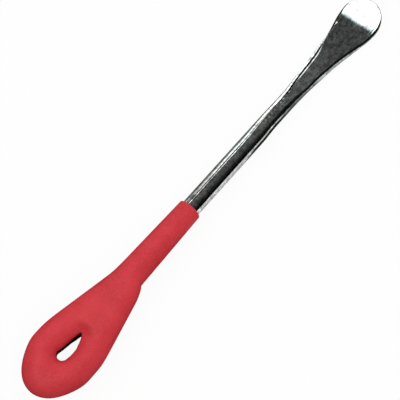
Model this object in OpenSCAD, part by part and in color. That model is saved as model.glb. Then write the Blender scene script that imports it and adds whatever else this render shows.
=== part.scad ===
// Spoon-end tyre lever: a plated round steel bar, bent into an eye at one end and forged into a
// flat spoon at the other, with a soft coat dipped over the eye and the lower shank.
// Millimetres. +X runs from the eye to the spoon, +Z is up, and the lever lies on z = 0.

/* [Overall] */
// Length from the end of the eye to the tip of the spoon
length = 254; // [220:1:320]
// Diameter of the round bar
bar_d = 9.5; // [8:0.1:11]

/* [Eye] */
// Radius of the bar's centre line round the end of the eye
eye_bend_r = 10; // [9:0.1:13]
// Angle between the eye's axis and the arm that carries on into the shank
arm_angle = 11.5; // [10:0.1:14]
// Angle between the eye's axis and the arm that ends in the tail
tail_angle = 13.5; // [11:0.1:15]
// Length of the tail's straight arm
tail_len = 46; // [40:0.5:50]
// How far the shank's axis stands to the arm's side of the eye's axis
shank_side = 1.6; // [0:0.1:3]
// Radius of the knee between the arm and the shank, on the centre line
knee_r = 50; // [30:1:80]

/* [Spoon] */
// Distance from the tip back to the start of the forged flats
flat_len = 98; // [80:1:120]
// Diameter of the drawn neck behind the blade, as a share of the bar's
neck_share = 0.94; // [0.85:0.01:0.98]
// Thickness of the blade ahead of its flats
blade_t = 2.6; // [2:0.1:4]
// Radius of the round tip, seen from above
tip_r = 10.4; // [9:0.1:13]
// Radius of the full shoulders behind the round tip
shoulder_r = 35; // [20:1:50]
// Steepest angle of the flare, where the shoulders turn into the hollow flanks
flare_angle = 14.5; // [12:0.5:18]
// Length of the upswept end of the spoon
sweep_len = 24; // [18:0.5:32]
// Radius of the upswept end, seen from the side
sweep_r = 60; // [45:1:90]

/* [Grip] */
// Distance from the end of the eye to the mouth of the grip
grip_len = 115; // [100:1:150]
// Thickness of the coat at the mouth
mouth_coat = 1.1; // [0.8:0.05:2]
// Share of the mouth's coat that its rounded lip takes
lip_share = 0.8; // [0.4:0.05:0.9]
// Thickness of the coat over the faces of the eye
face_coat = 2.3; // [2:0.05:3.5]
// Thickness of the coat outside the widest place of the eye
flank_coat = 2; // [1.5:0.1:3]
// Thickness of the coat outside the arm
arm_coat = 3.1; // [2.5:0.1:4]
// Thickness of the coat outside the tail
tail_coat = 3.7; // [3:0.1:4.5]
// Thickness of the drip at the end of the eye
drip_coat = 6.9; // [4:0.1:8]
// Length over which the coat rounds off past the tail's end
nose_len = 8; // [5:0.5:12]

/* [Hanging hole] */
// Width of the hole at its round end
hole_w = 5.4; // [4:0.1:6]
// Distance from the centre of the round end to the point of the hole
hole_len = 14.4; // [10:0.1:16]
// Share of the coat's height that the valley ahead of the hole loses
valley_depth = 0.5; // [0.3:0.05:0.6]
// Length of the valley ahead of the hole
valley_len = 14; // [10:0.5:20]

/* [Hidden] */
$fn = 96;

steel_colour = "silver";
grip_colour = "#cd3d45";

// Places along the bar, with x = 0 at half length
bar_r = bar_d / 2;
neck_r = neck_share * bar_r;
tip_x = length / 2;
eye_x = -length / 2 + eye_bend_r + bar_r + drip_coat;
flat_x = tip_x - flat_len;
sweep_x = tip_x - sweep_len;

// Places along the grip, measured from the centre of the eye
hole_r = hole_w / 2;
lip_r = lip_share * mouth_coat;
mouth_d = grip_len - length / 2 - eye_x;
tail_d = eye_bend_r * sin(tail_angle) + tail_len * cos(tail_angle);
nose_d = tail_d + face_coat;

// The lever lies along the underside of its tapered sleeve, so it pitches down by the sleeve's taper
pitch = atan((face_coat - mouth_coat) / (mouth_d - nose_d));
axis_z = (bar_r + mouth_coat) * cos(pitch) + (eye_x + mouth_d) * sin(pitch);

// The belly of the spoon drops below the bar's axis until it meets the same surface
belly_x = sweep_x + sweep_r * sin(pitch);
belly_z = (belly_x * sin(pitch) - axis_z) / cos(pitch);
belly_drop = -belly_z - blade_t / 2 + sweep_r * (1 - cos(pitch));

// Arm and knee of the eye, worked out from the two angles
arm_len = (eye_bend_r * cos(arm_angle) - shank_side - knee_r * (1 - cos(arm_angle))) / sin(arm_angle);
knee_x = eye_x + (eye_bend_r + knee_r) * sin(arm_angle) + arm_len * cos(arm_angle);

// Swelling of the bends, and how far the straight lengths reach into them
bend_swell = 0.05;
bend_lap = 0.5;

function smooth_step(u) = let (c = min(max(u, 0), 1)) c * c * (3 - 2 * c);
function soft_max(a, b, k) = k * ln(exp(a / k) + exp(b / k));
function soft_min(a, b, k) = -soft_max(-a, -b, k);
function mix(a, b, u) = a + (b - a) * u;

// Side view of the spoon: half its thickness, which thins almost straight, and the height of its middle
thin_power = 1.2;
function half_thick(x) = let (u = (sweep_x - x) / (sweep_x - flat_x))
    u < 0 ? blade_t / 2 : mix(blade_t / 2, bar_r, pow(u, thin_power));
function spine(x) =
    x < sweep_x ? -belly_drop * smooth_step((x - flat_x) / (sweep_x - flat_x))
    : -belly_drop + sweep_r - sqrt(pow(sweep_r, 2) - pow(x - sweep_x, 2));

// Top view of the spoon: the round tip, full shoulders, and hollow flanks that run out into the neck
tip_low = spine(tip_x) - blade_t / 2;
tip_centre = tip_x - sqrt(pow(tip_r, 2) - pow(tip_low, 2));
shoulder = [tip_centre - shoulder_r * sin(flare_angle), tip_r - shoulder_r * (1 - cos(flare_angle))];
flank_r = (shoulder.y - neck_r) / (1 - cos(flare_angle));
flank_x = shoulder.x - flank_r * sin(flare_angle);

// Half of the blank's outline, as [radius, place along the bar]
flank_n = 6;
tip_n = 15;
blank_outline = concat(
    [[0, knee_x - bend_lap], [bar_r, knee_x - bend_lap], [bar_r, flat_x]],
    [for (i = [0 : flank_n]) let (a = flare_angle * i / flank_n)
        [neck_r + flank_r * (1 - cos(a)), flank_x + flank_r * sin(a)]],
    [for (i = [1 : flank_n]) let (a = flare_angle * (1 - i / flank_n))
        [tip_r - shoulder_r * (1 - cos(a)), tip_centre - shoulder_r * sin(a)]],
    [for (i = [1 : tip_n]) let (a = 90 * i / tip_n) [tip_r * cos(a), tip_centre + tip_r * sin(a)]]
);

// The blank is turned about the bar's axis
module blank() {
    rotate([0, 90, 0]) rotate_extrude() polygon(blank_outline);
}

// One of the two dies that press the flats; up is 1 for the upper die and -1 for the lower
module die(up) {
    margin = 4;
    steps = 32;
    face = [for (i = [0 : steps]) let (x = mix(flat_x - margin, tip_x + margin, i / steps))
        [x, spine(x) + up * half_thick(x)]];
    back = up * (bar_d + tip_r);
    rotate([90, 0, 0]) linear_extrude(4 * tip_r, center = true)
        polygon(concat(face, [[tip_x + margin, back], [flat_x - margin, back]]));
}

// Bar bent to an arc of radius r about z; a bend swells a little and takes in the ends of its neighbours
module bend(r, from, to) {
    rotate([0, 0, from]) rotate_extrude(angle = to - from) translate([r, 0]) circle(bar_r + bend_swell);
}

// Straight arm of the eye, which closes in by an angle on one side of the eye's axis
module arm(angle, long, side) {
    rotate([0, 0, -side * angle]) translate([-bend_lap, side * eye_bend_r, 0])
        rotate([0, 90, 0]) cylinder(r = bar_r, h = long + bend_lap);
}

// The bent and forged steel, with the shank's axis along x
module steel() {
    translate([0, shank_side, 0]) difference() {
        blank();
        die(1);
        die(-1);
    }
    translate([knee_x, shank_side + knee_r, 0]) bend(knee_r, 270 - arm_angle, 270);
    translate([eye_x, 0, 0]) {
        bend(eye_bend_r, 90 - arm_angle, 270 + tail_angle);
        arm(arm_angle, arm_len + bend_lap, 1);
        arm(tail_angle, tail_len, -1);
    }
}

// Coat over the round bar at a distance d from the eye's centre, thinned to a lip at the mouth
function lip(d) = let (u = (mouth_d - d) / lip_r) u < 1 ? lip_r * (1 - sqrt(1 - pow(1 - u, 2))) : 0;
function tube_r(d) =
    bar_r + mix(face_coat, mouth_coat, max(0, (d - nose_d) / (mouth_d - nose_d))) - lip(d);

// Edges of the coat, seen from above: the eye's width, the straight arms and the sleeve
edge_blend = 0.4;
widest = eye_bend_r + bar_r + flank_coat;
function loop_edge(d, angle, cover) =
    soft_min(widest, (eye_bend_r + bar_r + cover) / cos(angle) - d * tan(angle), edge_blend);
function nose(d) = let (u = (d - nose_d) / nose_len + 1) u < 0 ? 1 : u > 1 ? 0 : sqrt(1 - u * u);
function arm_edge(d) =
    soft_max(loop_edge(d, arm_angle, arm_coat), shank_side + tube_r(d), edge_blend);
function tail_edge(d) = let (sleeve = tube_r(d) - shank_side)
    sleeve + max(0, loop_edge(d, tail_angle, tail_coat) - sleeve) * nose(d);
function middle(d) = shank_side * smooth_step((d - hole_len) / (nose_d - hole_len));

// Height of the coat at a distance y from its middle line, where the edge lies at w
valley_round = 2;
function valley(d) = tube_r(d) * (1 - valley_depth * smooth_step((hole_len + valley_len - d) / valley_len));
function crown(y, w, d) = let (r = tube_r(d), flat = w - r)
    y >= flat ? r * sqrt(max(0, 1 - pow((y - flat) / r, 2)))
    : let (u = y * y / (y + valley_round) * (flat + valley_round) / (flat * flat), v = valley(d))
        sqrt(v * v + (r * r - v * v) * (1 - pow(1 - u, 2)));

// Rings of the sleeve, square to x, each from the top over the arm's side to the bottom and back
ring_n = 40;
function sleeve_ring(d) = [for (j = [0 : ring_n - 1])
    let (a = 360 * j / ring_n,
         w = a <= 180 ? arm_edge(d) - middle(d) : tail_edge(d) + middle(d),
         y = w * sin(a),
         up = 4 * j == ring_n || 4 * j == 3 * ring_n ? 0 : sign(cos(a)))
        [eye_x + d, middle(d) + y, up * crown(abs(y), w, d)]];

// Where the rings of the sleeve stand, closer together round the lip and the nose
lip_n = 4;
taper_n = 4;
nose_n = 7;
crotch_n = 10;
sleeve_places = concat(
    [for (i = [0 : lip_n]) mouth_d - lip_r * (1 - cos(90 * i / lip_n))],
    [for (i = [1 : taper_n]) mix(mouth_d - lip_r, nose_d, i / taper_n)],
    [for (i = [1 : nose_n]) nose_d - nose_len * (1 - cos(90 * i / nose_n))],
    [for (i = [1 : crotch_n]) mix(nose_d - nose_len, hole_len, i / crotch_n)]
);

// Rings of the loop, each from its inner top over the outer side to its inner bottom and up the hole's wall
wall_n = 5;
loop_n = ring_n / 2 + 1 + wall_n;
open_angle = 150;
hole_power = 0.65;
function hole_edge(d) = hole_r * pow(1 - pow(d / hole_len, 2), hole_power);
function loop_ring(inner, outer, along, across) = [for (j = [0 : loop_n - 1])
    let (half = ring_n / 2,
         a = j <= half ? open_angle * (1 - 2 * j / half)
             : -open_angle - (360 - 2 * open_angle) * (j - half) / (wall_n + 1),
         v = (inner + outer) / 2 + (outer - inner) / 2 * cos(a))
        [eye_x + along[0] + v * across[0], along[1] + v * across[1], tube_r(0) * sin(a)]];
function arm_ring(d, side) =
    loop_ring(hole_edge(d), side > 0 ? arm_edge(d) : tail_edge(d), [d, 0], [0, side]);
drip_power = 4;
function end_ring(a) =
    let (edge = mix(widest, eye_bend_r + bar_r + drip_coat, pow(cos(a), drip_power)))
        loop_ring(hole_r, edge, [0, 0], [cos(a), sin(a)]);
arm_n = 6;
end_n = 24;
arm_places = [for (i = [1 : arm_n]) hole_len * cos(90 * i / arm_n)];
loop_rings = concat(
    [for (d = arm_places) arm_ring(d, 1)],
    [for (i = [1 : end_n - 1]) end_ring(90 + 180 * i / end_n)],
    [for (i = [arm_n - 1 : -1 : 0]) arm_ring(arm_places[i], -1)]
);

// The point of the hole is an upright line of points shared by both arms
point_wall = [for (i = [1 : wall_n])
    [eye_x + hole_len, 0, -valley(hole_len) * cos(180 * i / (wall_n + 1))]];

// Outer skin of the coat as one closed surface
module coat() {
    sleeves = len(sleeve_places);
    loops = len(loop_rings);
    wall_start = sleeves * ring_n;
    loop_start = wall_start + wall_n;
    last_ring = wall_start - ring_n;
    function shared(j, side) =
        j > ring_n / 2 ? wall_start + j - ring_n / 2 - 1
        : last_ring + (side > 0 ? j : (ring_n - j) % ring_n);
    function loop_point(k, j) =
        k == 0 ? shared(j, 1) : k > loops ? shared(j, -1) : loop_start + (k - 1) * loop_n + j;
    rings = concat([for (d = sleeve_places) sleeve_ring(d)], [point_wall], loop_rings);
    faces = concat(
        [[for (j = [0 : ring_n - 1]) j]],
        [for (i = [0 : sleeves - 2], j = [0 : ring_n - 1]) let (k = (j + 1) % ring_n)
            [i * ring_n + j, (i + 1) * ring_n + j, (i + 1) * ring_n + k, i * ring_n + k]],
        [for (i = [0 : loops], j = [0 : loop_n - 1]) let (k = (j + 1) % loop_n)
            [loop_point(i, j), loop_point(i + 1, j), loop_point(i + 1, k), loop_point(i, k)]]
    );
    polyhedron([for (ring = rings) each ring], faces, convexity = 6);
}

// Lays the lever down on z = 0
module lying() {
    translate([0, 0, axis_z]) rotate([0, pitch, 0]) children();
}

module lever_bar() {
    color(steel_colour) lying() steel();
}

module grip() {
    color(grip_colour) lying() difference() {
        coat();
        steel();
    }
}

lever_bar();
grip();
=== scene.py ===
from math import asin, atan, cos, exp, log, pi, radians, sin, sqrt, tan

import bmesh
import bpy
from mathutils import Matrix, Vector


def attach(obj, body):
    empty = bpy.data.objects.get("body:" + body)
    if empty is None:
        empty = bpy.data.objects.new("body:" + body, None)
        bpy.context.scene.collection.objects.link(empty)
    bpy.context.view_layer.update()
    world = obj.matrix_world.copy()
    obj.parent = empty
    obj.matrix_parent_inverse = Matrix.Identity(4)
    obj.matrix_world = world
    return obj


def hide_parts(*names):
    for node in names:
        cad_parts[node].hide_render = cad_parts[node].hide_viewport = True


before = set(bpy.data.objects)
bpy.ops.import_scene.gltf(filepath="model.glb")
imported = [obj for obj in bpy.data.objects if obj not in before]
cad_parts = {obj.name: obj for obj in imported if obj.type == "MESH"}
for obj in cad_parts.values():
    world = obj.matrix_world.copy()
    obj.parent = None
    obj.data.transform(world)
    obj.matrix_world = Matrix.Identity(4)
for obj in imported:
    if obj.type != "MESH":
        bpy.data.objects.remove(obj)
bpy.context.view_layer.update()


# The bar is one length of round steel, plated bright after forging. Its tail is bent back into an eye and
# closes against the shank. Its other end is drawn down, pressed flat and turned up into a spoon. The long
# edges of the flat are ground in narrow facets. Sizes are in millimetres, with x = 0 at half length.
MM = 0.001
LENGTH = 254.0
BAR_R = 4.75
TAIL_ANGLE = radians(13.5)
TAIL_LEN = 46.0
EYE_BEND_R = 10.0
ARM_ANGLE = radians(11.5)
KNEE_R = 50.0
SHANK_SIDE = 1.6
FLAT_LEN = 98.0
NECK_R = 0.94 * BAR_R
FLARE = radians(14.5)
SHOULDER_R = 35.0
TIP_R = 10.3
BLADE_HALF = 1.3
THIN_POWER = 1.2
SWEEP_LEN = 24.0
SWEEP_R = 60.0
DISH_DEPTH = 0.27
DISH_START = 88.0
DISH_FULL = 102.0
DISH_REACH = TIP_R - 0.5
EDGE_DEPTH = 2.6
CREASE_R = 0.35
NICK_X = 108.8
NICK_REACH = 1.2

# The lever lies along the underside of its coat and on the belly of its spoon, so the coat's thickness over
# the tail's end and at the mouth sets the bar's pitch. Places in the grip are counted from the eye's centre.
GRIP_LEN = 115.0
MOUTH_COAT = 1.1
FACE_COAT = 2.3
DRIP_COAT = 6.9
EYE_X = -LENGTH / 2 + EYE_BEND_R + BAR_R + DRIP_COAT
MOUTH_D = GRIP_LEN - LENGTH / 2 - EYE_X
NOSE_D = EYE_BEND_R * sin(TAIL_ANGLE) + TAIL_LEN * cos(TAIL_ANGLE) + FACE_COAT
PITCH = atan((FACE_COAT - MOUTH_COAT) / (MOUTH_D - NOSE_D))
AXIS_Z = (BAR_R + MOUTH_COAT) * cos(PITCH) + (EYE_X + MOUTH_D) * sin(PITCH)
lying = Matrix.Scale(MM, 4) @ Matrix.Translation((0, 0, AXIS_Z)) @ Matrix.Rotation(PITCH, 4, "Y")

TIP_X = LENGTH / 2
FLAT_X = TIP_X - FLAT_LEN
SWEEP_X = TIP_X - SWEEP_LEN
ARM_LEN = (EYE_BEND_R * cos(ARM_ANGLE) - SHANK_SIDE - KNEE_R * (1 - cos(ARM_ANGLE))) / sin(ARM_ANGLE)
KNEE_X = EYE_X + (EYE_BEND_R + KNEE_R) * sin(ARM_ANGLE) + ARM_LEN * cos(ARM_ANGLE)
BELLY_X = SWEEP_X + SWEEP_R * sin(PITCH)
BELLY_Z = (BELLY_X * sin(PITCH) - AXIS_Z) / cos(PITCH)
BELLY_DROP = -BELLY_Z - BLADE_HALF + SWEEP_R * (1 - cos(PITCH))
TIP_CENTRE = TIP_X - TIP_R
SHOULDER_X = TIP_CENTRE - SHOULDER_R * sin(FLARE)
SHOULDER_Y = TIP_R - SHOULDER_R * (1 - cos(FLARE))
FLANK_R = (SHOULDER_Y - NECK_R) / (1 - cos(FLARE))
FLANK_X = SHOULDER_X - FLANK_R * sin(FLARE)

# Counts of points round a quarter of the bar's section, and of rings along each stretch of the bar.
FACE_STEPS = 14
CREASE_STEPS = 3
FACET_SHARES = (0.1, 0.35, 0.65, 0.9)
RIM_STEPS = 5
SIDE_STEPS = 3
TAIL_STEPS = 8
BEND_STEPS = 42
ARM_STEPS = 7
KNEE_STEPS = 8
SHANK_STEPS = 24
NECK_STEPS = 36
FLANK_STEPS = 45
SHOULDER_STEPS = 20
TIP_STEPS = 30


def mix(a, b, u):
    return a + (b - a) * u


def rise(x, start, end):
    """A smooth step from 0 at the start to 1 at the end."""
    u = min(max((x - start) / (end - start), 0.0), 1.0)
    return u * u * (3 - 2 * u)


def fall(x, start, end):
    return 1 - rise(x, start, end)


def half_thick(x):
    u = min(max((SWEEP_X - x) / (SWEEP_X - FLAT_X), 0.0), 1.0)
    return mix(BLADE_HALF, BAR_R, u ** THIN_POWER)


def spine(x):
    """Height of the section's middle above the shank's axis."""
    if x < SWEEP_X:
        return -BELLY_DROP * rise(x, FLAT_X, SWEEP_X)
    return -BELLY_DROP + SWEEP_R - sqrt(SWEEP_R ** 2 - (x - SWEEP_X) ** 2)


def dish(x, across):
    """Depth of the shallow hollow in the spoon's face."""
    inside = max(0.0, 1 - (across / DISH_REACH) ** 2)
    end = max(0.0, 1 - (max(0.0, x - TIP_CENTRE) / DISH_REACH) ** 2)
    return DISH_DEPTH * inside * end * rise(x, DISH_START, DISH_FULL)


def nick(x):
    return exp(-((x - NICK_X) / NICK_REACH) ** 2)


def far_edge(x):
    """The +Y edge: facets (angle, width) from the face outwards, then rim, swell, sag and flatness."""
    inner_width = 0.65 * rise(x, 68, 78) * fall(x, 89, 95)
    bright_width = mix(0.2, 1.1, rise(x, 46, 64)) * fall(x, 91, 99)
    outer_width = mix(1.05, 0.75, rise(x, 56, 68)) * fall(x, 91, 105) + 1.1 * nick(x)
    spoon_width = 0.9 * rise(x, 100, 105) - 0.7 * rise(x, 112, 121)
    facets = [(radians(18.0), inner_width), (radians(25.0), bright_width),
              (radians(35.0), outer_width), (radians(48.0), spoon_width)]
    rim = mix(3.4, 0.3, rise(x, 58, 76))
    swell = 0.95 * rise(x, 62, 80) * fall(x, 91, 101)
    sag = 0.35 * nick(x)
    flatness = rise(x, 30, 56)
    return facets, rim, swell, sag, flatness


def near_edge(x):
    """The -Y edge, in the same order: a bevel, then a wall that slopes out to its widest line lower down."""
    bevel = mix(1.6, 0.95, rise(x, 56, 74)) * (1 - 0.75 * rise(x, 117, 125))
    wall = mix(2.0, 0.7, rise(x, 34, 46)) - 0.45 * rise(x, 44, 64) + 0.55 * rise(x, 70, 80)
    wall *= 1 - 0.85 * rise(x, 98, 110)
    facets = [(radians(35.5), bevel / 2), (radians(36.5), bevel / 2),
              (radians(53.5), wall / 2), (radians(54.5), wall / 2)]
    rim = mix(4.0, 0.3, rise(x, 58, 74))
    swell = 0.5 * rise(x, 68, 84) * (1 - 0.5 * rise(x, 100, 110))
    swell -= 0.5 * rise(x, 36, 48) * fall(x, 58, 78)
    sag = 0.5 * rise(x, 80, 95) * fall(x, 98, 108)
    flatness = rise(x, 27, 70)
    return facets, rim, swell, sag, flatness


# The underside keeps a plain rounded edge. A point's slope says where on a round section it belongs.
UNDER_FACETS = [(radians(30 + 4 * k), 0.05) for k in range(4)]
UNDER_RIM = 0.85
LEAST_FACET = 0.02
LEAST_CORE = 0.02
FACE_TURN = 0.7
CREASE_TURN = 0.96
RIM_TURN = radians(2.0)
STEEP = radians(88.0)


def edge_quarter(width, half, facets, rim):
    """Points (across, up, slope) from the face's middle over the facets and a round rim to the side."""
    facets = [(angle, max(run, LEAST_FACET)) for angle, run in facets]
    first = facets[0][0]
    last = facets[-1][0]
    drop = sum(run * tan(angle) for angle, run in facets)
    rim = min(rim, (half - drop) / cos(last))
    y = width - rim * (1 - sin(last)) - sum(run for angle, run in facets)
    z = half
    crease = min(CREASE_R, facets[0][1] / 2 / tan(first / 2))
    bite = crease * tan(first / 2)
    face_end = max(y - bite, 0.0)
    path = [(face_end * k / FACE_STEPS, half, FACE_TURN * first * k / FACE_STEPS) for k in range(FACE_STEPS)]
    for k in range(CREASE_STEPS + 1):
        a = first * k / CREASE_STEPS
        slope = first * mix(FACE_TURN, CREASE_TURN, k / CREASE_STEPS)
        path.append((face_end + crease * sin(a), half - crease * (1 - cos(a)), slope))
    used = bite * cos(first) / facets[0][1]
    for angle, run in facets:
        for share in FACET_SHARES:
            out = run * mix(used, 1.0, share)
            path.append((y + out, z - out * tan(angle), angle + radians(share - 0.5)))
        y += run
        z -= run * tan(angle)
        used = 0.0
    low = z - rim * cos(last)
    for k in range(RIM_STEPS + 1):
        a = mix(last, pi / 2, k / RIM_STEPS)
        slope = mix(last + RIM_TURN, STEEP, k / RIM_STEPS)
        path.append((width - rim + rim * sin(a), low + rim * cos(a), slope))
    for k in range(1, SIDE_STEPS + 1):
        path.append((width, low * (1 - k / SIDE_STEPS), mix(STEEP, pi / 2, k / SIDE_STEPS)))
    return path


def section(width, half, edges):
    """Points (across, up) round the bar: a round section and a flat one, blended at equal slopes."""
    sides = []
    for facets, rim, swell, sag, flatness in edges:
        wide = width + swell
        upper = edge_quarter(wide, half + sag, facets, rim)
        under = edge_quarter(wide, half - sag, UNDER_FACETS, UNDER_RIM * (half - sag))
        for up, path in ((1, upper), (-1, under)):
            side = []
            for y, z, slope in path:
                across = mix(wide * sin(slope), y, flatness)
                side.append((across, mix(up * half * cos(slope), up * z - sag, flatness)))
            sides.append(side)
    far_upper, far_under, near_upper, near_under = sides
    ring = far_upper[:-1] + far_under[:0:-1]
    ring += [(-y, z) for y, z in near_under[:-1] + near_upper[:0:-1]]
    return ring


def bent_bar():
    """Rings of the round bar from its tail round the eye to the start of the flats."""
    round_bar = section(BAR_R, BAR_R, (far_edge(0), near_edge(0)))
    places = []
    for i in range(TAIL_STEPS + 1):
        back = TAIL_LEN * (1 - i / TAIL_STEPS)
        places.append((EYE_X + EYE_BEND_R * sin(TAIL_ANGLE) + back * cos(TAIL_ANGLE),
                       -EYE_BEND_R * cos(TAIL_ANGLE) + back * sin(TAIL_ANGLE), pi + TAIL_ANGLE))
    sweep = pi + TAIL_ANGLE + ARM_ANGLE
    for i in range(1, BEND_STEPS + 1):
        a = 1.5 * pi + TAIL_ANGLE - sweep * i / BEND_STEPS
        places.append((EYE_X + EYE_BEND_R * cos(a), EYE_BEND_R * sin(a), a - pi / 2))
    arm_x = EYE_X + EYE_BEND_R * sin(ARM_ANGLE)
    arm_y = EYE_BEND_R * cos(ARM_ANGLE)
    for i in range(1, ARM_STEPS + 1):
        far = ARM_LEN * i / ARM_STEPS
        places.append((arm_x + far * cos(ARM_ANGLE), arm_y - far * sin(ARM_ANGLE), -ARM_ANGLE))
    for i in range(1, KNEE_STEPS + 1):
        a = -ARM_ANGLE * (1 - i / KNEE_STEPS)
        places.append((KNEE_X + KNEE_R * sin(a), SHANK_SIDE + KNEE_R * (1 - cos(a)), a))
    for i in range(1, SHANK_STEPS + 1):
        places.append((mix(KNEE_X, FLAT_X, i / SHANK_STEPS), SHANK_SIDE, 0.0))
    return [[Vector((x - y * sin(a), side + y * cos(a), z)) for y, z in round_bar] for x, side, a in places]


def spoon():
    """Rings of the forged end, from the flats round the shoulders to the middle of the tip."""
    outline = []
    for i in range(1, NECK_STEPS + 1):
        u = i / NECK_STEPS
        outline.append((mix(FLAT_X, FLANK_X, u), mix(BAR_R, NECK_R, u), 0.0))
    for i in range(1, FLANK_STEPS + 1):
        a = FLARE * i / FLANK_STEPS
        outline.append((FLANK_X + FLANK_R * sin(a), NECK_R + FLANK_R * (1 - cos(a)), -a))
    for i in range(1, SHOULDER_STEPS + 1):
        a = FLARE * (1 - i / SHOULDER_STEPS)
        outline.append((TIP_CENTRE - SHOULDER_R * sin(a), TIP_R - SHOULDER_R * (1 - cos(a)), -a))
    for i in range(1, TIP_STEPS + 1):
        a = STEEP * i / TIP_STEPS
        outline.append((TIP_CENTRE + TIP_R * sin(a), TIP_R * cos(a), a))
    rings = []
    for x, y, a in outline:
        half = half_thick(x)
        core_x = x - EDGE_DEPTH * sin(a)
        core_y = max(y - EDGE_DEPTH * cos(a), LEAST_CORE)
        ring = []
        for across, up in section(core_y + EDGE_DEPTH, half, (far_edge(x), near_edge(x))):
            out = max(abs(across) - core_y, 0.0)
            at = core_x + out * sin(a)
            wide = min(abs(across), core_y) + out * cos(a)
            side = wide if across > 0 else -wide
            hollow = dish(at, wide) * max(0.0, up / half)
            ring.append(Vector((at, SHANK_SIDE + side, spine(at) + up - hollow)))
        rings.append(ring)
    return rings


def skin(mesh, rings):
    """Quads between neighbouring rings of points; gives back the points, ring by ring."""
    rows = [[mesh.verts.new(p) for p in ring] for ring in rings]
    for one, two in zip(rows, rows[1:]):
        for j in range(len(one)):
            k = (j + 1) % len(one)
            mesh.faces.new((one[j], two[j], two[k], one[k]))
    return rows


def piece(name, mesh, material):
    """A smooth object in the lying lever's place, made from a mesh in millimetres."""
    bmesh.ops.remove_doubles(mesh, verts=mesh.verts, dist=1e-5)
    bmesh.ops.recalc_face_normals(mesh, faces=mesh.faces)
    for face in mesh.faces:
        face.smooth = True
    data = bpy.data.meshes.new(name)
    mesh.to_mesh(data)
    mesh.free()
    data.transform(lying)
    data.materials.append(material)
    made = bpy.data.objects.new(name, data)
    bpy.context.scene.collection.objects.link(made)
    return made


def shader(name):
    """A new material, its tree, its Principled shader and the object's own coordinates."""
    material = bpy.data.materials.new(name)
    material.use_nodes = True
    tree = material.node_tree
    place = tree.nodes.new("ShaderNodeTexCoord").outputs["Object"]
    return material, tree, tree.nodes["Principled BSDF"], place


def plug(tree, value, socket):
    """Links another node's output to a socket, or sets a plain value on it."""
    if isinstance(value, bpy.types.NodeSocket):
        tree.links.new(value, socket)
    else:
        socket.default_value = value


def node(tree, kind, settings=None, **inputs):
    """A node with its settings made and its named inputs linked or set."""
    made = tree.nodes.new(kind)
    for key, value in (settings or {}).items():
        setattr(made, key, value)
    for key, value in inputs.items():
        plug(tree, value, made.inputs[key.replace("_", " ")])
    return made


def calc(tree, operation, *values):
    """A sum, product or the like of the given values."""
    made = node(tree, "ShaderNodeMath", {"operation": operation})
    for value, socket in zip(values, made.inputs):
        plug(tree, value, socket)
    return made.outputs[0]


def span(tree, value, low, high, start=0.0, end=1.0):
    """A value stretched from one range to another and held inside it."""
    made = node(tree, "ShaderNodeMapRange", Value=value, From_Min=low, From_Max=high,
                To_Min=start, To_Max=end)
    return made.outputs["Result"]


def blend(tree, factor, one, two, way="MIX"):
    """Two colours, mixed or multiplied as far as the factor says."""
    made = node(tree, "ShaderNodeMix", {"data_type": "RGBA", "blend_type": way})
    plug(tree, factor, made.inputs[0])
    for value, socket in ((one, made.inputs[6]), (two, made.inputs[7])):
        plug(tree, value if isinstance(value, bpy.types.NodeSocket) else (*value, 1.0), socket)
    return made.outputs[2]


def noise(tree, place, **inputs):
    return node(tree, "ShaderNodeTexNoise", Vector=place, **inputs).outputs["Fac"]


# Cloudy marks show on both finishes: as haze on the plating and as mottling in the dipped coat.
cloud_marks = bpy.data.node_groups.new("cloud_marks", "ShaderNodeTree")
cloud_marks.interface.new_socket("Place", in_out="INPUT", socket_type="NodeSocketVector")
cloud_marks.interface.new_socket("Patch Scale", in_out="INPUT", socket_type="NodeSocketFloat")
cloud_marks.interface.new_socket("Speck Scale", in_out="INPUT", socket_type="NodeSocketFloat")
cloud_marks.interface.new_socket("Patches", in_out="OUTPUT", socket_type="NodeSocketFloat")
cloud_marks.interface.new_socket("Specks", in_out="OUTPUT", socket_type="NodeSocketFloat")
marks_in = cloud_marks.nodes.new("NodeGroupInput").outputs
marks_out = cloud_marks.nodes.new("NodeGroupOutput").inputs
patch_noise = noise(cloud_marks, marks_in["Place"], Scale=marks_in["Patch Scale"], Detail=4.0, Roughness=0.6)
speck_noise = noise(cloud_marks, marks_in["Place"], Scale=marks_in["Speck Scale"], Detail=2.0, Roughness=0.5)
plug(cloud_marks, span(cloud_marks, patch_noise, 0.3, 0.7), marks_out["Patches"])
plug(cloud_marks, span(cloud_marks, speck_noise, 0.3, 0.7), marks_out["Specks"])


def marks(tree, place, patch_scale, speck_scale):
    """The two masks of the cloudy marks, at a material's own scales."""
    made = node(tree, "ShaderNodeGroup", {"node_tree": cloud_marks}, Place=place, Patch_Scale=patch_scale,
                Speck_Scale=speck_scale)
    return made.outputs["Patches"], made.outputs["Specks"]


# The plating is hazy and specked, with fine lines from drawing the bar, and it is duller on the blade.
HAZY_GREY = (0.26, 0.27, 0.265)
BRIGHT_GREY = (0.95, 0.98, 0.965)
SPECK_GREY = (0.24, 0.25, 0.25)
LINE_WHITE = (1.0, 1.0, 1.0)
WARM_STAIN = (0.89, 0.88, 0.87)
COOL_STAIN = (0.95, 1.0, 0.97)
BLADE_DULL = (0.66, 0.66, 0.66)
plating, tree, steel, place = shader("bright_plating")
haze, specks = marks(tree, place, 420.0, 1200.0)
spots = node(tree, "ShaderNodeSeparateXYZ", Vector=place).outputs
drawn = node(tree, "ShaderNodeMapping", Vector=place, Scale=(0.05, 1.0, 1.0))
lines = noise(tree, drawn.outputs["Vector"], Scale=1500.0, Detail=3.0, Roughness=0.7)
stain = noise(tree, place, Scale=150.0, Detail=2.0, Roughness=0.5)
patchy = blend(tree, span(tree, haze, 0.15, 0.85), HAZY_GREY, BRIGHT_GREY)
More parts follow.
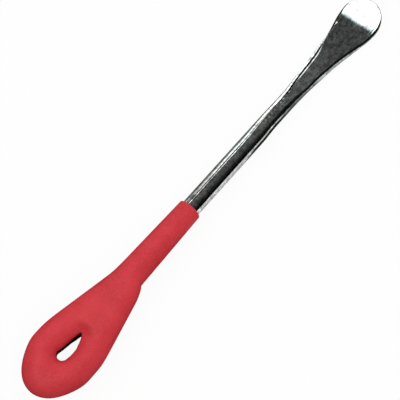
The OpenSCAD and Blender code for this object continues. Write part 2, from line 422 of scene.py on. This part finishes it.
speckled = blend(tree, span(tree, specks, 0.4, 1.0, 0.0, 0.9), patchy, SPECK_GREY)
lined = blend(tree, span(tree, lines, 0.5, 0.72, 0.0, 0.9), speckled, LINE_WHITE)
tint = blend(tree, span(tree, stain, 0.38, 0.62), WARM_STAIN, COOL_STAIN)
stained = blend(tree, 1.0, lined, tint, "MULTIPLY")
dulled = blend(tree, span(tree, spots["X"], 80 * MM, 100 * MM), stained, BLADE_DULL, "MULTIPLY")
plug(tree, dulled, steel.inputs["Base Color"])

# Short cross marks are left along the far edge of the flat by the forging die.
TICK_SLANT = -0.053
ticks = node(tree, "ShaderNodeTexWave", {"bands_direction": "X"}, Vector=place, Scale=130.0, Distortion=2.0,
             Detail=2.0)
gaps = noise(tree, place, Scale=240.0, Detail=1.0)
edge_y = calc(tree, "MULTIPLY_ADD", spots["X"], TICK_SLANT, spots["Y"])
ticked = span(tree, ticks.outputs["Fac"], 0.70, 0.95)
for limit in (span(tree, edge_y, -0.6 * MM, -0.1 * MM), span(tree, edge_y, 0.3 * MM, 0.6 * MM, 1.0, 0.0),
              span(tree, gaps, 0.40, 0.52),
              span(tree, spots["X"], 30 * MM, 50 * MM), span(tree, spots["X"], 67 * MM, 73 * MM, 1.0, 0.0)):
    ticked = calc(tree, "MULTIPLY", ticked, limit)
plug(tree, span(tree, ticked, 0.0, 1.0, 1.0, 0.40), steel.inputs["Metallic"])
plug(tree, span(tree, haze, 0.0, 1.0, 0.03, 0.07), steel.inputs["Roughness"])
dents = noise(tree, place, Scale=260.0, Detail=3.0)
fine = node(tree, "ShaderNodeBump", Strength=0.02, Distance=0.04 * MM, Height=lines)
hammered = node(tree, "ShaderNodeBump", Strength=0.03, Distance=0.2 * MM, Height=dents,
                Normal=fine.outputs["Normal"])
plug(tree, hammered.outputs["Normal"], steel.inputs["Normal"])

bar_mesh = bmesh.new()
rows = skin(bar_mesh, bent_bar() + spoon())
bar_mesh.faces.new(rows[0])
tip_row = rows[-1]
around = len(tip_row)
for j in range(around // 2):
    corners = [tip_row[j], tip_row[j + 1], tip_row[around - j - 1], tip_row[(around - j) % around]]
    bar_mesh.faces.new(list(dict.fromkeys(corners)))
bar = piece("plated_bar", bar_mesh, plating)
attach(bar, "root")
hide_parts("lever_bar")


# The grip is a soft coat that the eye and the lower shank are dipped in. It fills the crotch of the eye and
# leaves a teardrop hole to hang the lever by. It steps over the end of the bar's tail and thins to a round
# lip at its mouth. In the sizes below, d runs from the eye's centre towards the mouth.
FLANK_COAT = 2.0
ARM_COAT = 3.1
TAIL_COAT = 3.7
NOSE_LEN = 8.0
LIP_R = 0.88
HOLE_R = 2.7
HOLE_LEN = 13.8
HOLE_POWER = 0.65
HOLE_LEAN = 0.77
HOLE_SHIFT = 0.5
WALL_CUT = 0.4
VALLEY_DEPTH = 0.46
VALLEY_LEN = 5.5
VALLEY_ROUND = 2.0
EDGE_BLEND = 0.4
DRIP_POWER = 4
BORE_GAP = 0.03
BORE_R = BAR_R + BORE_GAP
BORE_SHARES = (0.02, 0.5, 1.0)
RING_N = 96
HALF_N = RING_N // 2
WALL_N = 13
SHADE_MARGIN = 2
LIP_STEPS = 8
SLEEVE_STEPS = 24
NOSE_STEPS = 24
CROTCH_STEPS = 32
HOLE_STEPS = 18
END_STEPS = 60
OPEN_ANGLE = pi - asin(1 - VALLEY_DEPTH)
WIDEST = EYE_BEND_R + BAR_R + FLANK_COAT


def soft_max(a, b):
    return EDGE_BLEND * log(exp(a / EDGE_BLEND) + exp(b / EDGE_BLEND))


def lip(d):
    u = min((MOUTH_D - d) / LIP_R, 1.0)
    return LIP_R * (1 - sqrt(max(0.0, 1 - (1 - u) ** 2)))


def tube_r(d):
    return BAR_R + mix(FACE_COAT, MOUTH_COAT, max(0.0, (d - NOSE_D) / (MOUTH_D - NOSE_D))) - lip(d)


def loop_edge(d, angle, cover):
    straight = (EYE_BEND_R + BAR_R + cover) / cos(angle) - d * tan(angle)
    return -soft_max(-WIDEST, -straight)


def nose(d):
    u = min(max((d - NOSE_D) / NOSE_LEN + 1, 0.0), 1.0)
    return sqrt(1 - u * u)


def arm_edge(d):
    return soft_max(loop_edge(d, ARM_ANGLE, ARM_COAT), SHANK_SIDE + tube_r(d))


def tail_edge(d):
    sleeve = tube_r(d) - SHANK_SIDE
    return sleeve + max(0.0, loop_edge(d, TAIL_ANGLE, TAIL_COAT) - sleeve) * nose(d)


def middle(d):
    return SHANK_SIDE * rise(d, HOLE_LEN, NOSE_D)


def valley(d):
    return tube_r(d) * (1 - VALLEY_DEPTH * fall(d, HOLE_LEN, HOLE_LEN + VALLEY_LEN))


def crown(y, w, d):
    """Half the coat's thickness at y, on a side w wide: a round edge, and a valley towards the middle."""
    r = tube_r(d)
    v = valley(d)
    flat = w - r
    if y >= flat:
        return r * sqrt(max(0.0, 1 - ((y - flat) / r) ** 2))
    u = y * y / (y + VALLEY_ROUND) * (flat + VALLEY_ROUND) / (flat * flat)
    return sqrt(v * v + (r * r - v * v) * (1 - (1 - u) ** 2))


def face_sign(j):
    """1 on a ring's upper face, -1 on its underside and 0 at its two sides."""
    quarter = RING_N // 4
    if j in (quarter, 3 * quarter):
        return 0
    return -1 if quarter < j < 3 * quarter else 1


def sleeve_ring(d):
    ring = []
    for j in range(RING_N):
        w = arm_edge(d) - middle(d) if j <= HALF_N else tail_edge(d) + middle(d)
        y = w * sin(2 * pi * j / RING_N)
        ring.append(Vector((EYE_X + d, middle(d) + y, face_sign(j) * crown(abs(y), w, d))))
    return ring


def hole_edge(d, side):
    lean = HOLE_LEAN * 4 * d / HOLE_LEN * (1 - d / HOLE_LEN)
    return HOLE_R * (1 - (d / HOLE_LEN) ** 2) ** HOLE_POWER - side * lean


def loop_ring(inner, outer, along, across, joined=0.0):
    """Section of the loop; near the hole's point it takes on the shape of half a sleeve ring."""
    first = inner - WALL_CUT
    ring = []
    for j in range(HALF_N + 1 + WALL_N):
        if j <= HALF_N:
            a = OPEN_ANGLE * (1 - 2 * j / HALF_N)
        else:
            a = -OPEN_ANGLE - (2 * pi - 2 * OPEN_ANGLE) * (j - HALF_N) / (WALL_N + 1)
        v = (first + outer) / 2 + (outer - first) / 2 * cos(a)
        z = tube_r(0) * sin(a)
        if joined and j <= HALF_N:
            y = outer * sin(2 * pi * j / RING_N)
            v = mix(v, y, joined)
            z = mix(z, face_sign(j) * crown(y, outer, HOLE_LEN), joined)
        v = max(v, inner)
        ring.append(Vector((EYE_X + along[0] + v * across[0], along[1] + v * across[1], z)))
    return ring


def arm_ring(d, side):
    edge = arm_edge(d) if side > 0 else tail_edge(d)
    return loop_ring(hole_edge(d, side), edge, (d, 0), (0, side), (d / HOLE_LEN) ** 3)


def end_ring(a):
    edge = mix(WIDEST, EYE_BEND_R + BAR_R + DRIP_COAT, cos(a) ** DRIP_POWER)
    return loop_ring(HOLE_R + HOLE_SHIFT * cos(a), edge, (0, 0), (cos(a), sin(a)))


def bore_ring(d):
    ring = []
    for j in range(RING_N):
        a = 2 * pi * j / RING_N
        ring.append(Vector((EYE_X + d, SHANK_SIDE + BORE_R * sin(a), BORE_R * cos(a))))
    return ring


def dipped_coat():
    """The coat's skin, with the mouth turned in to a bore that the shank stands in."""
    mesh = bmesh.new()
    hole_shade = mesh.verts.layers.float.new("hole_shade")
    depths = [MOUTH_D - LIP_R * (1 - cos(pi / 2 * i / LIP_STEPS)) for i in range(LIP_STEPS + 1)]
    depths += [mix(MOUTH_D - LIP_R, NOSE_D, i / SLEEVE_STEPS) for i in range(1, SLEEVE_STEPS + 1)]
    depths += [NOSE_D - NOSE_LEN * (1 - cos(pi / 2 * i / NOSE_STEPS)) for i in range(1, NOSE_STEPS + 1)]
    depths += [mix(NOSE_D - NOSE_LEN, HOLE_LEN, i / CROTCH_STEPS) for i in range(1, CROTCH_STEPS + 1)]
    bore = [bore_ring(mix(KNEE_X - EYE_X, MOUTH_D, share)) for share in BORE_SHARES]
    sleeve = skin(mesh, bore + [sleeve_ring(d) for d in depths])
    mesh.faces.new(sleeve[0])
    split = sleeve[-1]
    wall = [mesh.verts.new((EYE_X + HOLE_LEN, 0, -valley(HOLE_LEN) * cos(pi * i / (WALL_N + 1))))
            for i in range(1, WALL_N + 1)]
    arm_places = [HOLE_LEN * cos(pi / 2 * i / HOLE_STEPS) for i in range(1, HOLE_STEPS + 1)]
    rings = [arm_ring(d, 1) for d in arm_places]
    rings += [end_ring(pi / 2 + pi * i / END_STEPS) for i in range(1, END_STEPS)]
    rings += [arm_ring(d, -1) for d in reversed(arm_places)]
    loop = [[mesh.verts.new(p) for p in ring] for ring in rings]
    # The hole's inner walls are marked for painted shade: the coat is painted near black there, where the
    # hole lies in shadow.
    hole_walls = [row[HALF_N + 1:] for row in loop] + [wall]
    for hole_wall in hole_walls:
        for vert in hole_wall[SHADE_MARGIN:-SHADE_MARGIN]:
            vert[hole_shade] = 1.0
    loop.insert(0, split[:HALF_N + 1] + wall)
    loop.append([split[-j % RING_N] for j in range(HALF_N + 1)] + wall)
    for one, two in zip(loop, loop[1:]):
        for j in range(len(one)):
            k = (j + 1) % len(one)
            corners = list(dict.fromkeys((one[j], two[j], two[k], one[k])))
            if len(corners) > 2:
                mesh.faces.new(corners)
    return mesh


DEEP_RED = (0.517, 0.0222, 0.033)
PALE_RED = (0.641, 0.0377, 0.049)
SPECK_RED = (0.65, 0.049, 0.059)
# The last colour is painted shade for the walls inside the hole.
PAINTED_HOLE_SHADE = (0.020, 0.003, 0.004)
dip, tree, coat, place = shader("dipped_vinyl")
patches, specks = marks(tree, place, 95.0, 1500.0)
red = blend(tree, patches, DEEP_RED, PALE_RED)
speckled = blend(tree, span(tree, specks, 0.3, 1.0, 0.0, 0.7), red, SPECK_RED)
# Painted shade: the marked walls of the hole are painted near black, in place of the shadow inside the hole.
hole_shade_mask = node(tree, "ShaderNodeAttribute", {"attribute_name": "hole_shade"})
plug(tree, blend(tree, hole_shade_mask.outputs["Fac"], speckled, PAINTED_HOLE_SHADE), coat.inputs["Base Color"])
plug(tree, span(tree, patches, 0.0, 1.0, 0.44, 0.55), coat.inputs["Roughness"])
grain = noise(tree, place, Scale=1400.0, Detail=3.0, Roughness=0.6)
coat_bump = node(tree, "ShaderNodeBump", Strength=0.25, Distance=0.2 * MM, Height=grain)
plug(tree, coat_bump.outputs["Normal"], coat.inputs["Normal"])
coat.inputs["Specular IOR Level"].default_value = 0.14

grip = piece("dipped_grip", dipped_coat(), dip)
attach(grip, "root")
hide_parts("grip")


# The studio is a pale table with soft light all round and above. The table shows white to the camera and
# keeps a faint shadow. It throws little light back up, so the lever's sides fall off to dark edges.
ROOM_DIM = (0.66, 0.66, 0.66)
ROOM_BRIGHT = (1.18, 1.18, 1.18)
WHITE = (1.0, 1.0, 1.0)
TABLE_PALE = (0.88, 0.88, 0.88)
TABLE_BOUNCE = (0.38, 0.38, 0.38)
TABLE_SEEN = 0.93
TABLE_MIRRORED = 0.3
TABLE_HALF = 6.0
world = bpy.data.worlds.new("studio")
bpy.context.scene.world = world
world.use_nodes = True
tree = world.node_tree
rays = tree.nodes.new("ShaderNodeLightPath").outputs
mirrored = calc(tree, "MAXIMUM", rays["Is Glossy Ray"], rays["Is Transmission Ray"])
shown = calc(tree, "MAXIMUM", rays["Is Camera Ray"], mirrored)
outwards = tree.nodes.new("ShaderNodeTexCoord").outputs["Generated"]
heading = node(tree, "ShaderNodeSeparateXYZ", Vector=outwards)
room = blend(tree, span(tree, heading.outputs["X"], -1.0, 1.0), ROOM_DIM, ROOM_BRIGHT)
plug(tree, blend(tree, shown, room, WHITE), tree.nodes["Background"].inputs["Color"])


def flat(name, corners, material):
    """A flat stage piece with the given corners."""
    data = bpy.data.meshes.new(name)
    data.from_pydata(corners, [], [tuple(range(len(corners)))])
    data.materials.append(material)
    made = bpy.data.objects.new(name, data)
    bpy.context.scene.collection.objects.link(made)
    return made


def level(points, height):
    return [(x, y, height) for x, y in points]


def rectangle(left, right, near, far):
    return [(left, near), (right, near), (right, far), (left, far)]


table_top, tree, table_paint = shader("table_paint")[:3]
table_paint.inputs["Roughness"].default_value = 0.9
table_paint.inputs["Specular IOR Level"].default_value = 0.0
rays = tree.nodes.new("ShaderNodeLightPath").outputs
plug(tree, blend(tree, rays["Is Diffuse Ray"], TABLE_PALE, TABLE_BOUNCE), table_paint.inputs["Base Color"])
mirrored = calc(tree, "MAXIMUM", rays["Is Glossy Ray"], rays["Is Transmission Ray"])
dimmed = calc(tree, "MULTIPLY", mirrored, TABLE_MIRRORED)
shown = calc(tree, "MULTIPLY_ADD", rays["Is Camera Ray"], TABLE_SEEN, dimmed)
glow = node(tree, "ShaderNodeEmission", Strength=1.0)
both = tree.nodes.new("ShaderNodeMixShader")
for value, socket in zip((shown, table_paint.outputs[0], glow.outputs[0]), both.inputs):
    plug(tree, value, socket)
plug(tree, both.outputs[0], tree.nodes["Material Output"].inputs["Surface"])
flat("table", level(rectangle(-TABLE_HALF, TABLE_HALF, -TABLE_HALF, TABLE_HALF), 0), table_top)


# Cards and a dark ceiling stand where only the plating mirrors them. They give it its dark face, the bright
# line along its far side and the dark lines at its edges. The dark cards on the table beside the near side
# and round
# the grip are painted shadow: they stand in for the lever's shadow on the table. Sizes from here on are in
# metres.
CEILING_Z = 1.5
STRIP_Z = 0.0003
GRIP_STRIP_Z = 0.0002
BLACK = 0.03


def card(name, corners, axis, stops, tint=WHITE):
    """A glowing card whose grey changes along one axis; stops are pairs of place and grey."""
    paint = bpy.data.materials.new(name)
    paint.use_nodes = True
    tree = paint.node_tree
    tree.nodes.remove(tree.nodes["Principled BSDF"])
    parts = node(tree, "ShaderNodeSeparateXYZ", Vector=tree.nodes.new("ShaderNodeTexCoord").outputs["Object"])
    low = stops[0][0]
    high = stops[-1][0]
    ramp = node(tree, "ShaderNodeValToRGB", Fac=span(tree, parts.outputs[axis], low, high))
    greys = ramp.color_ramp.elements
    for i, (at, grey) in enumerate(stops):
        spot = greys[i] if i < 2 else greys.new(1.0)
        spot.position = (at - low) / (high - low)
        spot.color = (grey * tint[0], grey * tint[1], grey * tint[2], 1)
    glow = node(tree, "ShaderNodeEmission", Strength=1.0, Color=ramp.outputs["Color"])
    plug(tree, glow.outputs[0], tree.nodes["Material Output"].inputs["Surface"])
    made = flat(name, corners, paint)
    made.visible_camera = False
    made.visible_diffuse = False
    made.visible_shadow = False
    return made


def upright(left, right, low, high, y):
    return [(left, y, low), (right, y, low), (right, y, high), (left, y, high)]


card("dark_ceiling", level(rectangle(-20, 20, -20, 8), CEILING_Z), "Y",
     [(-3.2, 0.004), (-1.3, 0.025), (-0.5, 0.088), (0.4, 0.140)])
card("far_card", upright(-6, 1.4, 0.004, 0.24, 0.6), "X", [(0.16, 0.2), (0.205, 2.2)])
far_strip = [(-0.02, 0.009), (0.065, 0.009), (0.075, 0.005), (0.17, 0.005), (0.17, 0.09), (-0.02, 0.09)]
card("far_table_card", level(far_strip, STRIP_Z), "X", [(0.05, 0.2), (0.066, 0.10), (0.08, 0.02)])
card("blade_card", upright(0.34, 1.3, 0.47, 0.75, 0.69), "Z", [(0.47, 1.6), (0.75, 1.6)])
card("gap_card", upright(0.27, 1.3, 0.26, 0.46, 0.69), "X", [(0.27, 0.10), (0.31, 0.01)])
# A dark card on the table along the near side of the bar, seen only in the plating: painted shadow, in place
# of the bar's own shadow on the table beside it.
near_shadow_strip = [(0.020, -0.004), (0.025, -0.006), (0.046, -0.026), (0.066, -0.026), (0.078, -0.080),
              (0.16, -0.080), (0.16, 0), (0.02, 0)]
card("near_shadow_card", level(near_shadow_strip, STRIP_Z), "X",
     [(0.020, 0.30), (0.034, 0.03), (0.05, 0.02), (0.064, 0.18), (0.076, 0.22), (0.083, 0.45), (0.089, 0.75)])
# A black card on the table round the grip, seen only in reflections: painted shade that darkens the grip's
# edges.
card("grip_shade_card", level(rectangle(-0.2, -0.02, -0.1, 0.1), GRIP_STRIP_Z), "X",
     [(0.0, BLACK), (0.1, BLACK)])


# A strip light lies along the far side, and a broad key light shades the grip. A panel overhead is mirrored
# in the spoon's tip. It has a soft bluish edge towards the blade and a dark corner.
PANEL_LEN = 1.6
PANEL_NEAR = -0.14
PANEL_FAR = 0.45
FRINGE_TINT = (0.88, 1.0, 1.06)
FRINGE_DROP = -0.01
CORNER_DROP = -0.02
CORNER_GREY = 0.02


def facing(at, aim):
    direction = Vector(aim) - Vector(at)
    return Matrix.Translation(at) @ direction.to_track_quat("-Z", "X").to_matrix().to_4x4()


def soft_light(name, place, size, radiance):
    """A rectangular soft light that the camera doesn't see; radiance is how bright its face looks."""
    lamp = bpy.data.lights.new(name, "AREA")
    lamp.shape = "RECTANGLE"
    lamp.size = size[0]
    lamp.size_y = size[1]
    lamp.energy = radiance * pi * size[0] * size[1]
    made = bpy.data.objects.new(name, lamp)
    made.matrix_world = place
    made.visible_camera = False
    bpy.context.scene.collection.objects.link(made)
    return made


soft_light("strip_panel", facing((0.0, 0.68, 0.70), (0.0, 0, 0)), (0.07, 0.82), 2.3)
key_panel = soft_light("key_panel", facing((0.45, 0.65, 1.10), (-0.03, 0, 0)), (0.9, 0.9), 0.5)
key_panel.visible_glossy = False

panel_edge = Matrix.Translation((0.1775, 0.2727, 1.4)) @ Matrix.Rotation(radians(16.0), 4, "Z")
panel_middle = Matrix.Translation((-PANEL_LEN / 2, (PANEL_NEAR + PANEL_FAR) / 2, 0))
panel_size = (PANEL_LEN, PANEL_FAR - PANEL_NEAR)
overhead_panel = soft_light("overhead_panel", panel_edge @ panel_middle, panel_size, 4.5)
overhead_panel.visible_diffuse = False
fringe = card("panel_fringe", level(rectangle(-0.05, 0.03, PANEL_NEAR, 0.25), FRINGE_DROP), "X",
              [(-0.05, 3.2), (-0.012, 1.9), (0.005, 0.6), (0.03, 0.16)], FRINGE_TINT)
fringe.matrix_world = panel_edge
dark_corner = [(0.031, 0.105), (0.18, 0.55), (-0.36, 0.23), (-0.249, 0.171), (-0.174, 0.155), (-0.119, 0.138),
               (-0.056, 0.126)]
corner_card = card("panel_corner", level(dark_corner, CORNER_DROP), "X",
                   [(-0.3, CORNER_GREY), (0.3, CORNER_GREY)])
corner_card.matrix_world = panel_edge


# The photograph looks down from 72 degrees above the table, across the lever's length.
LOOK_AT = Vector((-0.00558, 0.00113, 0.005))
AZIMUTH = radians(-49.81)
ELEVATION = radians(72.0)
DISTANCE = 0.85
camera_data = bpy.data.cameras.new("camera")
camera_data.sensor_width = 36.0
camera_data.lens = 161.2
camera = bpy.data.objects.new("camera", camera_data)
bpy.context.scene.collection.objects.link(camera)
back = Vector((sin(AZIMUTH) * cos(ELEVATION), -cos(AZIMUTH) * cos(ELEVATION), sin(ELEVATION)))
camera.location = LOOK_AT + DISTANCE * back
camera.rotation_euler = (-back).to_track_quat("-Z", "Y").to_euler()
bpy.context.scene.camera = camera
bpy.context.scene.view_settings.view_transform = "Standard"
